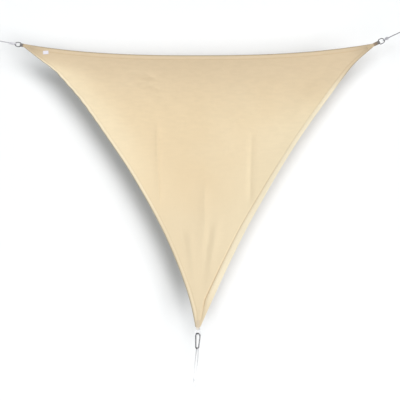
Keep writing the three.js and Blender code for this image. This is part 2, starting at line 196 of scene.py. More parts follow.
def corner_frame(x, z, heading, twist=0.0, out=0.0):
    """The matrix of a corner's frame, turned about the pull and moved out along it."""
    turn = math.radians(heading)
    pull = Vector((math.cos(turn), 0, math.sin(turn)))
    axes = Matrix((pull, Vector((-pull.z, 0, pull.x)), Vector((0, -1, 0)))).transposed()
    place = Matrix.Translation((x, 0, z)) @ axes.to_4x4()
    return place @ Matrix.Translation((out, 0, 0)) @ Matrix.Rotation(math.radians(twist), 4, "X")


def placed(points, matrix):
    return [matrix @ Vector(point) for point in points]


def mesh_object(name, vertices, faces, material, smooth=True):
    mesh = bpy.data.meshes.new(name)
    mesh.from_pydata([tuple(v) for v in vertices], [], faces)
    mesh.materials.append(material)
    mesh.polygons.foreach_set("use_smooth", [smooth] * len(mesh.polygons))
    mesh.update()
    piece = bpy.data.objects.new(name, mesh)
    bpy.context.scene.collection.objects.link(piece)
    return piece


def tube(name, line, sides, radius_at, material, closed=False):
    """A tube along a line. radius_at(distance along, angle) gives its surface."""
    count = len(line)
    tangents = []
    for k in range(count):
        after = line[(k + 1) % count] if closed else line[min(k + 1, count - 1)]
        before = line[k - 1] if closed or k > 0 else line[0]
        tangents.append((after - before).normalized())
    side = tangents[0].orthogonal().normalized()
    sides_at = []
    for tangent in tangents:
        side = (side - tangent * side.dot(tangent)).normalized()
        sides_at.append(side.copy())
    slip = 0.0
    if closed:                               # spread the frame's mismatch round the loop
        last = sides_at[-1] - tangents[0] * sides_at[-1].dot(tangents[0])
        slip = math.atan2(tangents[0].dot(last.cross(sides_at[0])), last.dot(sides_at[0]))
    vertices, distances, distance = [], [], 0.0
    for k, (point, tangent, side) in enumerate(zip(line, tangents, sides_at)):
        up = tangent.cross(side)
        if k:
            distance += (point - line[k - 1]).length
        distances.append(distance)
        for i in range(sides):
            angle = 2 * math.pi * i / sides + slip * k / count
            spoke = side * math.cos(angle) + up * math.sin(angle)
            vertices.append(point + spoke * radius_at(distance, angle))
    faces = []
    for k in range(count if closed else count - 1):
        for i in range(sides):
            a, b = k * sides + i, k * sides + (i + 1) % sides
            c, d = ((k + 1) % count) * sides + (i + 1) % sides, ((k + 1) % count) * sides + i
            faces.append((a, b, c, d))
    if not closed:
        faces += [tuple(range(sides))[::-1], tuple((count - 1) * sides + i for i in range(sides))]
    piece = mesh_object(name, vertices, faces, material)
    lengthwise = piece.data.uv_layers.new(name="along")
    for loop in piece.data.loops:
        k, i = divmod(loop.vertex_index, sides)
        lengthwise.data[loop.index].uv = (i / sides, distances[k])
    return piece


# ---- materials -------------------------------------------------------------------------

class Look:
    """A node material with its shader at hand, and short ways to add nodes."""

    def __init__(self, name, roughness, metallic=0.0, sheen=0.0):
        self.material = bpy.data.materials.new(name)
        self.material.use_nodes = True
        self.tree = self.material.node_tree
        self.shader = self.tree.nodes["Principled BSDF"]
        self.shader.inputs["Roughness"].default_value = roughness
        self.shader.inputs["Metallic"].default_value = metallic
        self.shader.inputs["Sheen Weight"].default_value = sheen

    def node(self, kind, **settings):
        made = self.tree.nodes.new(kind)
        for key, value in settings.items():
            if hasattr(made, key):
                setattr(made, key, value)
            else:
                made.inputs[key.replace("_", " ")].default_value = value
        return made

    def link(self, source, target):
        self.tree.links.new(source, target)

    def math(self, operation, first, second):
        made = self.node("ShaderNodeMath", operation=operation)
        for socket, value in zip(made.inputs, (first, second)):
            if isinstance(value, (int, float)):
                socket.default_value = value
            else:
                self.link(value, socket)
        return made.outputs[0]

    def blend(self, share, first, second):
        made = self.node("ShaderNodeMix", data_type="RGBA")
        sockets = made.inputs[0], made.inputs[6], made.inputs[7]
        for socket, value in zip(sockets, (share, first, second)):
            if isinstance(value, (int, float, tuple)):
                socket.default_value = value
            else:
                self.link(value, socket)
        return made.outputs[2]

    def dimmed(self, color, level):
        """A colour times a grey level."""
        grey = self.node("ShaderNodeCombineColor")
        for socket in grey.inputs[:3]:
            self.link(level, socket)
        made = self.node("ShaderNodeMix", data_type="RGBA", blend_type="MULTIPLY")
        made.inputs[0].default_value = 1.0
        self.link(color, made.inputs[6])
        self.link(grey.outputs[0], made.inputs[7])
        return made.outputs[2]

    def between(self, value, low, high, to_low=0.0, to_high=1.0):
        made = self.node("ShaderNodeMapRange", interpolation_type="SMOOTHSTEP")
        self.link(value, made.inputs["Value"])
        ends = {"From Min": low, "From Max": high, "To Min": to_low, "To Max": to_high}
        for key, number in ends.items():
            made.inputs[key].default_value = number
        return made.outputs[0]

    def noise(self, scale, detail=2.0, vector=None):
        made = self.node("ShaderNodeTexNoise", Scale=scale, Detail=detail)
        self.link(vector or self.node("ShaderNodeTexCoord").outputs["Object"], made.inputs["Vector"])
        return made.outputs["Fac"]

    def bands(self, period, direction, vector=None, distortion=0.0):
        made = self.node("ShaderNodeTexWave", bands_direction=direction, Distortion=distortion)
        made.inputs["Scale"].default_value = 2 * math.pi / 20 / period
        self.link(vector or self.node("ShaderNodeTexCoord").outputs["Object"], made.inputs["Vector"])
        return made.outputs["Fac"]

    def bump(self, height, depth, strength=1.0):
        made = self.node("ShaderNodeBump", Strength=strength, Distance=depth)
        self.link(height, made.inputs["Height"])
        self.link(made.outputs[0], self.shader.inputs["Normal"])

    def color(self, socket):
        self.link(socket, self.shader.inputs["Base Color"])


# Colours of the sand cloth: pale and warm are its own tones; the rest are painted light and shade: a
# darker top, the lower cloth's tone, a lighter right side, light beside and on the side hems (whose
# double layer is also paler), and shade in the seams' grooves, along the edges and at the corners.
SAND = {
    "pale": linear(220, 201, 168), "warm": linear(218, 197, 162), "high": linear(207, 186, 155),
    "low": linear(217, 199, 167), "margin": linear(230, 213, 180), "hem": linear(238, 226, 199),
    "seam": linear(180, 152, 114), "shade": linear(130, 116, 98), "right": linear(236, 218, 184),
}
WALE, COURSE = 0.0034, 0.0026                # the knit's ribs and rows
# The painted light and shade of loose rows of cloth is stretched level.
SLACK_FLATNESS = (1, 1, 3.2)                 # slack rows lie level
TRANSLUCENCY = 0.08


def cloth_look():
    look = Look("knitted_cloth", roughness=0.88, sheen=0.1)
    place = look.node("ShaderNodeTexCoord").outputs["Object"]
    apart = look.node("ShaderNodeSeparateXYZ")
    look.link(place, apart.inputs[0])
    bands = look.node("ShaderNodeSeparateColor")
    painted = look.node("ShaderNodeAttribute", attribute_name="bands")
    look.link(painted.outputs["Color"], bands.inputs[0])
    hem, seam, shade = bands.outputs
    margin = painted.outputs["Alpha"]

    color = look.blend(look.between(look.noise(1.6), 0.35, 0.65), SAND["pale"], SAND["warm"])
    # Painted shade and light by height: the top darker, where the cloth tips down away from the light,
    # and the lower cloth toned for how the light falls there.
    color = look.blend(look.between(apart.outputs["Z"], -0.60, 0.10), color, SAND["high"])
    color = look.blend(look.between(apart.outputs["Z"], -1.0, -1.7), color, SAND["low"])
    # Painted light: brighter towards the right side over the upper middle heights.
    to_right = look.between(apart.outputs["X"], -0.1, 0.7, 0.0, 0.5)
    upright = look.between(apart.outputs["Z"], -0.2, -0.8)
    color = look.blend(look.math("MULTIPLY", to_right, upright), color, SAND["right"])
    # Painted light: brighter beside the side hems.
    color = look.blend(look.math("MULTIPLY", margin, 0.8), color, SAND["margin"])
    # The side hems: paler in their double layer, with painted light on top that changes with height.
    color = look.blend(look.math("MULTIPLY", hem, 0.75), color, SAND["hem"])
    # Painted shade in the seams' grooves, darkest low on the right.
    color = look.blend(look.math("MULTIPLY", seam, 0.6), color, SAND["seam"])
    # Painted shade along the edges and towards the corners.
    color = look.blend(look.math("MULTIPLY", shade, 0.8), color, SAND["shade"])
    ribs = look.bands(WALE, "X", distortion=0.3)
    rows = look.bands(COURSE, "Z", distortion=0.6)
    knit = look.math("MULTIPLY", ribs, look.math("ADD", look.math("MULTIPLY", rows, 0.6), 0.4))
    flat = look.node("ShaderNodeMapping")
    flat.inputs["Scale"].default_value = SLACK_FLATNESS
    look.link(place, flat.inputs["Vector"])
    # Painted light and shade of loose rows of cloth: a level mottling that lightens and darkens the
    # colour, strongest high up.
    slack_shading = look.between(look.noise(13, 3.0, flat.outputs[0]), 0.3, 0.7, -0.020, 0.018)
    slack_shading = look.math("MULTIPLY", slack_shading, look.between(apart.outputs["Z"], -1.3, -0.4, 0.25, 1.0))
    level = look.math("MULTIPLY", look.between(knit, 0.0, 1.0, 0.93, 1.03), look.math("ADD", slack_shading, 1.0))
    shaded = look.dimmed(color, level)
    look.color(shaded)
    look.bump(look.math("ADD", knit, look.math("MULTIPLY", look.noise(900, 1.0), 0.3)), 0.0006, 0.5)

    through = look.node("ShaderNodeBsdfTranslucent")
    look.link(shaded, through.inputs["Color"])
    both = look.node("ShaderNodeMixShader")
    both.inputs[0].default_value = TRANSLUCENCY
    look.link(look.shader.outputs[0], both.inputs[1])
    look.link(through.outputs[0], both.inputs[2])
    look.link(both.outputs[0], look.tree.nodes["Material Output"].inputs["Surface"])
    return look.material


def thread_look():
    look = Look("thread", roughness=0.7, sheen=0.1)
    look.color(look.blend(look.noise(300), linear(214, 188, 146), linear(196, 168, 126)))
    look.bump(look.bands(0.0006, "DIAGONAL"), 0.0001)
    return look.material


def webbing_look():
    """Ribbed sand webbing, with painted shade: brown where it leaves the cloth and grey where it wraps
    the ring's bar; painted light makes it pale at the bottom corner.
    """
    look = Look("webbing", roughness=0.82, sheen=0.1)
    uv = look.node("ShaderNodeUVMap", uv_map="along").outputs[0]
    ribs = look.bands(0.0022, "Y", uv, distortion=0.4)
    warp = look.bands(0.0016, "X", uv)
    weave = look.math("MULTIPLY", ribs, look.math("ADD", look.math("MULTIPLY", warp, 0.5), 0.5))
    painted_shade_and_light = look.node("ShaderNodeSeparateColor")
    look.link(look.node("ShaderNodeAttribute", attribute_name="painted_shade_and_light").outputs["Color"], painted_shade_and_light.inputs[0])
    # Painted shade brown and grey towards the ring, painted light pale at the bottom corner.
    brown, grey, pale = painted_shade_and_light.outputs
    color = look.blend(weave, linear(164, 146, 119), linear(200, 181, 152))
    color = look.blend(pale, color, look.blend(weave, linear(226, 216, 202), linear(240, 233, 224)))
    color = look.blend(brown, color, look.blend(weave, linear(116, 99, 82), linear(148, 131, 112)))
    color = look.blend(grey, color, look.blend(weave, linear(98, 94, 92), linear(126, 121, 118)))
    look.color(color)
    look.bump(weave, 0.0004, 0.7)
    return look.material


def steel_look(name, pale, dark, metallic):
    look = Look(name, roughness=0.3, metallic=metallic)
    look.color(look.blend(look.between(look.noise(60), 0.3, 0.7), pale, dark))
    rough = look.between(look.noise(240, 4.0), 0.3, 0.7, 0.22, 0.42)
    look.link(rough, look.shader.inputs["Roughness"])
    look.bump(look.noise(700, 3.0), 0.00008, 0.4)
    return look.material


MOTTLING = 0.88                              # a rope's darkest patches
PALING = (-2.53, -2.75)                      # heights where the bottom rope turns white


def rope_look(name, left, right, bottom):
    """White twisted cord painted grey as shade, a different grey at each corner, paling to white at the
    bottom eye.
    """
    look = Look(name, roughness=0.75, sheen=0.15)
    uv = look.node("ShaderNodeUVMap", uv_map="along").outputs[0]
    fibres = look.noise(1400, 2.0)
    apart = look.node("ShaderNodeSeparateXYZ")
    look.link(look.node("ShaderNodeTexCoord").outputs["Object"], apart.inputs[0])
    color = look.blend(look.between(apart.outputs["X"], -1.0, 1.0), left, right)
    color = look.blend(look.between(apart.outputs["Z"], -0.8, -1.2), color, bottom)
    color = look.blend(look.between(apart.outputs["Z"], *PALING), color, linear(252, 252, 253))
    look.color(look.dimmed(color, look.between(look.noise(90), 0.35, 0.65, MOTTLING, 1.0)))
    look.bump(look.math("ADD", fibres, look.bands(0.0012, "Y", uv, distortion=1.0)), 0.0003, 0.6)
    return look.material


def label_look():
    look = Look("satin_label", roughness=0.5, sheen=0.2)
    look.color(look.blend(look.noise(120), linear(208, 204, 212), linear(198, 195, 205)))
    look.bump(look.bands(0.0008, "Z"), 0.0001, 0.5)
    return look.material


LOOKS = {
    "cloth": cloth_look(), "thread": thread_look(), "webbing": webbing_look(),
    # One metal in two copies: darkened with painted shade for the upper rings and the hook, and painted
    # pale as a highlight for the bottom ring.
    "steel": steel_look("steel", linear(112, 112, 115), linear(90, 89, 91), 1.0),
    "painted_highlight_steel": steel_look("painted_highlight_steel", linear(232, 231, 234), linear(214, 213, 217), 0.35),
    # One white cord in two copies, painted grey as shade: darker for the ropes, lighter for the knots and
    # turns, and a different grey at each corner.
    "rope": rope_look("rope", linear(176, 174, 180), linear(120, 118, 124), linear(194, 193, 195)),
    "turns": rope_look("turns", linear(219, 217, 222), linear(186, 184, 190), linear(238, 238, 239)),
    "label": label_look(),
}


# ---- camera, lights and backdrop -------------------------------------------------------

PIXEL, PHOTO = 0.0085, 400                   # the photograph's scale at the sail, and its side
LENS, SENSOR = 150, 36
CAMERA_X, CAMERA_Z = 0.014, -1.230
WALL_Y, FLOOR_Y, FLOOR_Z = 0.42, -2.0, -4.2
WALL_TOP, WALL_HALF_WIDTH, COVE = 4.0, 6.0, 0.12
WALL_WHITES = (0.738, 0.738, 0.742, 1), (0.732, 0.732, 0.736, 1)
WORLD_COLOR, WORLD_LIGHT, WORLD_SEEN = (0.80, 0.93, 1.0, 1), 0.055, 1.0


def camera():
    data = bpy.data.cameras.new("camera")
    data.lens, data.sensor_width = LENS, SENSOR
    data.clip_end = 100
    made = bpy.data.objects.new("camera", data)
    made.location = (CAMERA_X, -PIXEL * PHOTO * LENS / SENSOR, CAMERA_Z)
    made.rotation_euler = (math.radians(90), 0, 0)
    bpy.context.scene.collection.objects.link(made)
    bpy.context.scene.camera = made


def sun(name, azimuth, elevation, spread, strength, color):
    """Light from one side. Azimuth 0 is in front of the sail and 90 is on its right."""
    data = bpy.data.lights.new(name, "SUN")
    data.angle, data.energy, data.color = math.radians(spread), strength, color
    turn, lift = math.radians(azimuth), math.radians(elevation)
    level = math.cos(lift)
    back = Vector((math.sin(turn) * level, -math.cos(turn) * level, math.sin(lift)))
    made = bpy.data.objects.new(name, data)
    made.rotation_euler = back.to_track_quat("Z", "Y").to_euler()
    bpy.context.scene.collection.objects.link(made)


Sun = namedtuple("Sun", "name azimuth elevation spread strength color")
WARM, COOL = (1.0, 0.995, 0.985), (0.90, 0.96, 1.0)
SUNS = [
    Sun("key_high", 7, 19, 20, 1.28, WARM),
    Sun("key_side", 25, 4, 30, 0.84, WARM),
    Sun("key_low", 28, -10, 30, 1.30, WARM),
    Sun("fill", -14, 0, 21, 1.04, COOL),
]


def lights():
    """Keys whose soft shadows fall left, below and above, and a fill whose faint one falls right."""
    for light in SUNS:
        sun(*light)
    world = bpy.data.worlds.new("studio")
    world.use_nodes = True
    tree = world.node_tree
    back = tree.nodes["Background"]
    back.inputs["Color"].default_value = WORLD_COLOR
    seen = tree.nodes.new("ShaderNodeLightPath")
    strength = tree.nodes.new("ShaderNodeMapRange")
    strength.inputs["To Min"].default_value = WORLD_LIGHT
    strength.inputs["To Max"].default_value = WORLD_SEEN
    tree.links.new(seen.outputs["Is Camera Ray"], strength.inputs["Value"])
    tree.links.new(strength.outputs[0], back.inputs["Strength"])
    bpy.context.scene.world = world
    bpy.context.scene.view_settings.view_transform = "Standard"


def backdrop():
    """A pale floor that sweeps up into a wall close behind the sail, seen from its front only."""
    look = Look("backdrop", roughness=0.9)
    look.color(look.blend(look.noise(0.6), *WALL_WHITES))
    clear = look.node("ShaderNodeBsdfTransparent")
    sides = look.node("ShaderNodeMixShader")
    look.link(look.node("ShaderNodeNewGeometry").outputs["Backfacing"], sides.inputs[0])
    look.link(look.shader.outputs[0], sides.inputs[1])
    look.link(clear.outputs[0], sides.inputs[2])
    look.link(sides.outputs[0], look.tree.nodes["Material Output"].inputs["Surface"])
    profile = [(FLOOR_Y, FLOOR_Z)]
    profile += [(p.x, p.y) for p in arc(WALL_Y - COVE, FLOOR_Z + COVE, COVE, -90, 0, 12)]
    profile.append((WALL_Y, WALL_TOP))
    vertices = [(x, y, z) for y, z in profile for x in (-WALL_HALF_WIDTH, WALL_HALF_WIDTH)]
    faces = [(2 * k, 2 * k + 1, 2 * k + 3, 2 * k + 2) for k in range(len(profile) - 1)]
    mesh_object("backdrop", vertices, faces, look.material)


# ---- ropes, knots and hitches ----------------------------------------------------------

EYE_ROUTE = [
    (0, 0), (0.016, 0), (0.031, 0.0001), (0.040, 0.0024), (0.049, 0.008), (0.059, 0.0136),
    (0.070, 0.0146), (0.079, 0.0092), (0.0825, -0.0043), (0.079, -0.0178), (0.070, -0.0232),
    (0.059, -0.0222), (0.049, -0.0166), (0.040, -0.011), (0.031, -0.0087), (0.016, -0.0086),
    (0.002, -0.0086),
]
BOTTOM_ROUTE = [
    (-0.0092, -0.0031, -2.4819), (-0.0066, -0.01, -2.4842), (-0.0043, -0.0164, -2.4912),
    (-0.0026, -0.018, -2.5), (-0.0016, -0.0166, -2.52), (-0.0022, -0.012, -2.545),
    (-0.0038, -0.006, -2.572), (-0.0062, -0.0016, -2.602), (-0.009, 0, -2.635),
    (-0.0126, 0, -2.672), (-0.0174, 0, -2.71), (-0.0222, 0, -2.742), (-0.025, 0, -2.776),
    (-0.0204, 0, -2.787), (-0.0126, 0, -2.797), (-0.0098, 0, -2.809), (-0.013, 0, -2.821),
    (-0.021, 0, -2.8285), (-0.0306, 0, -2.83), (-0.04, 0, -2.826), (-0.0476, 0, -2.817),
    (-0.0496, 0, -2.805), (-0.0456, 0, -2.794), (-0.0382, 0, -2.786), (-0.0339, 0, -2.776),
    (-0.0308, 0, -2.742), (-0.0312, 0, -2.71), (-0.0314, 0, -2.672), (-0.0296, 0, -2.635),
    (-0.0268, 0.0016, -2.602), (-0.0234, 0.0062, -2.572), (-0.0204, 0.0106, -2.545),
    (-0.018, 0.0136, -2.52), (-0.0162, 0.0142, -2.5), (-0.0149, 0.0124, -2.4912),
    (-0.0126, 0.0062, -2.4842), (-0.01, -0.0009, -2.4819),
]
BOTTOM_KNOT = (-0.0269, -2.746, -94.9)
LAY_LENGTH, STRANDS = 0.030, 3               # one full twist of the rope, and its strands


def rope(name, line, node, look="rope"):
    """Three-strand rope along a line: its surface swells at the strands, which wind round."""
    line = spline(line, 0.002)
    total = sum((b - a).length for a, b in zip(line, line[1:]))

    def surface(distance, angle):
        lobe = math.cos(STRANDS * (angle - 2 * math.pi * distance / LAY_LENGTH))
        blunt = min(1.0, 0.72 + min(distance, total - distance) / 0.004)
        return ROPE / 2 * blunt * (0.90 + 0.10 * math.copysign(abs(lobe) ** 0.8, lobe))

    piece = tube(name, line, 18, surface, LOOKS[look])
    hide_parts(node)
    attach(piece, "root")
    return piece, line, total


def turns_of_rope(start, apart):
    """Turns laid round one rope, or round two that lie `apart` from each other."""
    steps, points = 12, []
    for k in range(TURNS * steps + 1):
        angle = 2 * math.pi * k / steps
        flat = clamp(2 * math.sin(angle), -1, 1) * apart / 2
        points.append((start + TURN_PITCH * k / steps, WRAP * math.sin(angle) + flat,
                       -WRAP * math.cos(angle)))
    return points


def hitch(side, corner):
    """The rope through the ring and three turns round the standing rope, with a free end."""
    around = RING_WIRE / 2 + ROPE / 2 + 3 * GAP
    seat = [(p.x, 0, p.y) for p in arc(0, 0, around, 50, 270, 5)]
    turns = turns_of_rope(HITCH_TURNS, 0)
    end = turns[-1][0]
    tail = [(end + 0.009, 0.004, -WRAP - 0.001), (end + 0.019, 0.005, -WRAP - 0.003)]
    route = [*HITCH_LEAD, *seat, (HITCH_TURNS / 2, 0, -WRAP), *turns, *tail]
    place = corner_frame(corner.x, corner.z, corner.heading, corner.twist, corner.reach + RING_DEPTH)
    return rope(f"hitch_turns_{side}", placed(route, place), f"hitch_{side}", "turns")[0]


def upper_rope(side, corner):
    tied = hitch(side, corner)
    place = corner_frame(corner.x, corner.z, corner.heading)
    start = corner.reach + RING_DEPTH + HITCH_LEAD[0][0] + 2 * GAP
    route = [(mix(start, corner.eye, share), 0, 0) for share in (0, 0.25, 0.5, 0.75)]
    route += [(corner.eye + x, y, 0) for x, y in EYE_ROUTE]
    piece, line, length = rope(f"taut_rope_{side}", placed(route, place), f"rope_{side}")
    wrapping = [(corner.eye + 0.001 + x, y - STRANDS_APART / 2, z)
                for x, y, z in turns_of_rope(0, STRANDS_APART)]
    knot = rope(f"eye_knot_{side}", placed(wrapping, place), f"knot_{side}", "turns")[0]


def bottom_rope():
    piece, line, length = rope("doubled_rope", BOTTOM_ROUTE, "rope_bottom")
    turns = placed(turns_of_rope(0, STRANDS_APART), corner_frame(*BOTTOM_KNOT))
    knot = rope("eye_knot_bottom", turns, "knot_bottom", "turns")[0]


# ---- the cloth -------------------------------------------------------------------------

def tip_ends(corner):
    turn = math.radians(corner.heading)
    across = Vector((-math.sin(turn), math.cos(turn))) * corner.width / 2
    middle = Vector((corner.x, corner.z))
    return middle + across, middle - across


LEFT_LOW, LEFT_HIGH = tip_ends(CORNERS["left"])
RIGHT_HIGH, RIGHT_LOW = tip_ends(CORNERS["right"])
FOOT_RIGHT, FOOT_LEFT = tip_ends(CORNERS["bottom"])


def inset_at(table, along):
    """A smooth curve through a table's rows, read at a share of the way along."""
    last = len(table) - 1
    k = next((i for i, row in enumerate(table) if row.along > along), last)

    def slope(row):
        before, after = table[max(row - 1, 0)], table[min(row + 1, last)]
        return (after.metres - before.metres) / (after.along - before.along)

    start, end = table[k - 1], table[k]
    span = end.along - start.along
    t = (along - start.along) / span
    return ((2 * t ** 3 - 3 * t ** 2 + 1) * start.metres + (t ** 3 - 2 * t ** 2 + t) * span * slope(k - 1)
            + (3 * t ** 2 - 2 * t ** 3) * end.metres + (t ** 3 - t ** 2) * span * slope(k))


def side_edge(table, high, low, inward, height):
    chord = high - low
    normal = Vector((chord.y, -chord.x)).normalized() * inward
    return low + chord * height + normal * inset_at(table, 1 - height)


SCALLOP, SCALLOP_DEPTH = 0.094, 0.004        # the left edge's small bays, stitch by stitch


def left_edge(height):
    edge = side_edge(LEFT_EDGE, LEFT_LOW, FOOT_LEFT, 1, height)
    down = (1 - height) * (LEFT_LOW - FOOT_LEFT).length
    bay = abs(math.sin(math.pi * down / SCALLOP)) * ease(0.10, 0.25, down) * ease(1.3, 0.6, down)
    return edge + Vector((0.8, 0.6)) * SCALLOP_DEPTH * bay


def right_edge(height):
    return side_edge(RIGHT_EDGE, RIGHT_LOW, FOOT_RIGHT, -1, height)


def top_edge(across):
    hollow = TOP_SAG * (1 - abs(2 * across - 1) ** TOP_FULLNESS)
    return LEFT_HIGH.lerp(RIGHT_HIGH, across) - Vector((0, hollow))


def hem_line(across):
    """The top hem's sewn line."""
    full = ease(0, 0.07, across) * ease(0, 0.07, 1 - across)
    low, high = LEFT_LOW.lerp(RIGHT_LOW, across), LEFT_HIGH.lerp(RIGHT_HIGH, across)
    return Vector((low.x, top_edge(across).y - mix(high.y - low.y, HEM_TOP, full)))


def cloth_point(across, height):
    row = left_edge(height).lerp(right_edge(height), across)
    straight = LEFT_LOW.lerp(RIGHT_LOW, across)
    return row + (hem_line(across) - straight) * height ** 2


def fold_height(fold, x, z):
    dx, dz = fold.x2 - fold.x1, fold.z2 - fold.z1
    along = ((x - fold.x1) * dx + (z - fold.z1) * dz) / (dx * dx + dz * dz)
    near = clamp(along)
    away = math.hypot(x - fold.x1 - near * dx, z - fold.z1 - near * dz)
    if away > 3 * fold.width:
        return 0.0
    fade = ease(-0.12, 0.2, along) * ease(-0.12, 0.2, 1 - along)
    return fold.height * fade * fading(away, fold.width)


BELLY_PEAK = 27                              # makes the belly's fullest place 1


def depth(across, height, x, z):
    """How far the cloth lies behind the plane of its corners."""
    belly = BELLY_PEAK * (1 - height) * height ** 2 * across * (1 - across)
    folds = sum(fold_height(fold, x, z) for fold in FOLDS)
    creases = sum(fold_height(crease, x, z) for crease in CREASES)
    uneven = 0.0016 * noise.noise(Vector((6 * x, 0, 5 * z)))
    uneven += 0.0006 * noise.noise(Vector((28 * x, 7, 22 * z)))
    inside = min(1, 3 * belly)
    loose = min(ease(*FLAT_TIP, math.hypot(x - c.x, z - c.z)) for c in CORNERS.values())
    return loose * (BILLOW * belly - (folds + creases + uneven) * inside)


SIDE_LINES = (0.0, 0.04, 0.12, 0.30, 0.60, 0.85, 0.95, 1.0)   # across a hem, from its edge in
TOP_LINES = (0.04, 0.15, 0.40, 0.70, 0.88, 0.96, 1.0)         # across the top hem, seam to edge
ROWS, COLUMNS = 170, 190


def side_hems(height):
    """A row's width, and the two side hems' widths, measured square to their edges."""
    width = (left_edge(height) - right_edge(height)).length
    most = HEM_TIP * width / HEM_SLANT
    right = mix(HEM_RIGHT_LOW, HEM_RIGHT, ease(0.3, 0.6, height))
    return width, min(HEM_LEFT, most), min(right, most)


def row_lines(height):
    """Shares across a row at which the cloth has points."""
    width, left, right = side_hems(height)
    left, right = left * HEM_SLANT / width, right * HEM_SLANT / width
    step = min(HEM_STEP / width, HEM_TIP / 15)
    field = [mix(left + step, 1 - right - step, k / COLUMNS) for k in range(COLUMNS + 1)]
    far = [1 - right * line for line in reversed(SIDE_LINES)]
    return [left * line for line in SIDE_LINES] + field + far


def hem_thickness(into):
    """A turned hem, 0 at its fold and 1 at its seam: round, full, and drawn in by the thread."""
    drawn = 0.25 * ease(0.85, 1.0, into)
    return HEM_THICK * mix(0.35, 1.0, domed(into / 0.12)) * (1 - drawn)


# Where the cloth is, how thick it is, and its painted light and shade: light on the side hems (over their
# paler double layer) and beside them, shade in the seams' grooves, along the edges and at the corners.
Spot = namedtuple("Spot", "point thickness hem seam shade margin")
SEAM_GROOVE, GROOVE_WIDTH = 0.0022, 0.007
LOW_GROOVE = 0.0075                          # where the right hem stands proud, low down
PUCKER, PUCKERS_PER_METRE, PUCKER_REACH = 0.0022, 22, 0.05
# How far the painted shade in the seams' grooves and the painted light beside the side hems reach.
SIDE_SEAM, TOP_SEAM, MARGIN_REACH = 0.0035, 0.004, 0.22       # where each is down to a third
# How far the painted shade along the edges and towards the corners reaches.
SIDE_LINE, TOP_LINE, TIP_REACH = 0.0085, 0.0060, 0.15


def spot(across, height, up=0.0):
    """The cloth at a place: across a row, up the rows, and from the top hem's seam to its edge."""
    width, left, right = side_hems(height)
    on_right = across > 0.5
    side = min(across, 1 - across) * width / HEM_SLANT
    hem_width = right if on_right else left
    point = cloth_point(across, height).lerp(top_edge(across), up)
    y = depth(across, height, point.x, point.y)
    tips = ease(0.0, 0.03, height) * ease(1.0, 0.96, height)
    groove = mix(LOW_GROOVE, SEAM_GROOVE, ease(0.08, 0.45, height)) if on_right else SEAM_GROOVE
    past = side - hem_width
    y += groove * fading(past, GROOVE_WIDTH) * tips
    pucker = noise.noise(Vector((PUCKERS_PER_METRE * point.x, 3, PUCKERS_PER_METRE * point.y)))
    y += PUCKER * pucker * fading(side, PUCKER_REACH) * tips

    in_side = past <= 1e-6
    thickness = hem_thickness(side / hem_width) if in_side else FIELD
    # The side hems' brightness: a paler double layer with painted light on it.
    hem = hem_light(on_right, height) if in_side else 0.0
    # Painted shade in the side seam's groove.
    seam = seam_groove_shade(on_right, height) * fading(past, SIDE_SEAM) * tips
    from_top = 1.0
    if up > 0:
        thickness = max(thickness if in_side else 0, hem_thickness(1 - up))
        from_top = (1 - up) * HEM_TOP
    # Painted shade in the top hem's seam groove.
    if height >= 1:
        seam = max(seam, 0.5 * fading(up * HEM_TOP, TOP_SEAM))
    # Painted shade along the edges and towards the corners.
    tip = min(math.hypot(point.x - c.x, point.y - c.z) for c in CORNERS.values())
    shade = max(edge_shade(side, from_top, on_right, height), tip_shade(tip, height))
    # Painted light beside the side hems.
    margin = fading(side, MARGIN_REACH) * margin_light(on_right, height)
    return Spot(Vector((point.x, y, point.y)), thickness, hem, seam, shade, margin)


def edge_shade(side, from_top, on_right, height):
    """Painted shade: the dark line along the left and top edges, and along the right one near its top."""
    on_side = fading(side, SIDE_LINE) * (ease(0.80, 0.92, height) if on_right else 1.0)
    return max(on_side, fading(from_top, TOP_LINE))


def tip_shade(tip, height):
    """Painted shade towards the corners, which shows least at the bottom one."""
    return mix(0.12, 0.50, ease(0.2, 0.6, height)) * fading(tip, TIP_REACH)


def margin_light(on_right, height):
    """How strongly painted light brightens the field beside a side hem: over the middle heights, and
    lower on the right.
    """
    if on_right:
        return ease(0.12, 0.38, height) * ease(0.87, 0.66, height)
    return ease(0.28, 0.62, height) * ease(0.99, 0.88, height)


def hem_light(on_right, height):
    """How much brighter than the field a side hem is, least towards the corners: its double layer is
    paler, and painted light gives the rest.
    """
    if on_right:
        return ease(0.93, 0.80, height) * ease(0.03, 0.16, height)
    return mix(0.25, 1.0, ease(0.99, 0.90, height)) * mix(0.35, 1.0, ease(0.25, 0.45, height))


def seam_groove_shade(on_right, height):
    """How dark the painted shade in a side seam's groove is: most on the right, low down."""
    if on_right:
        low = mix(1.3, 0.8, ease(0.12, 0.3, height)) * ease(0.045, 0.075, height)
        return mix(low, 0.25, ease(0.45, 0.62, height))
    return 0.35


def row_height(row):
    """Rows lie closer together near the top."""
    return 1 - (1 - row / ROWS) ** 1.25


def sail():
    levels = [(row_height(row), 0.0) for row in range(ROWS + 1)] + [(1.0, up) for up in TOP_LINES]
    spots = [spot(across, height, up) for height, up in levels for across in row_lines(height)]
    fronts = [s.point - Vector((0, s.thickness / 2, 0)) for s in spots]
    backs = [s.point + Vector((0, s.thickness / 2, 0)) for s in spots]
    columns = COLUMNS + 2 * len(SIDE_LINES)
    piece = closed_sheet("sail_cloth", fronts, backs, len(levels) - 1, columns, LOOKS["cloth"])
    # The painted light and shade go to the cloth's material as a colour attribute.
    layer = piece.data.color_attributes.new("bands", "FLOAT_COLOR", "POINT")
    bands = [value for s in spots for value in (s.hem, s.seam, s.shade, s.margin)]
    layer.data.foreach_set("color", bands + bands)
    return piece


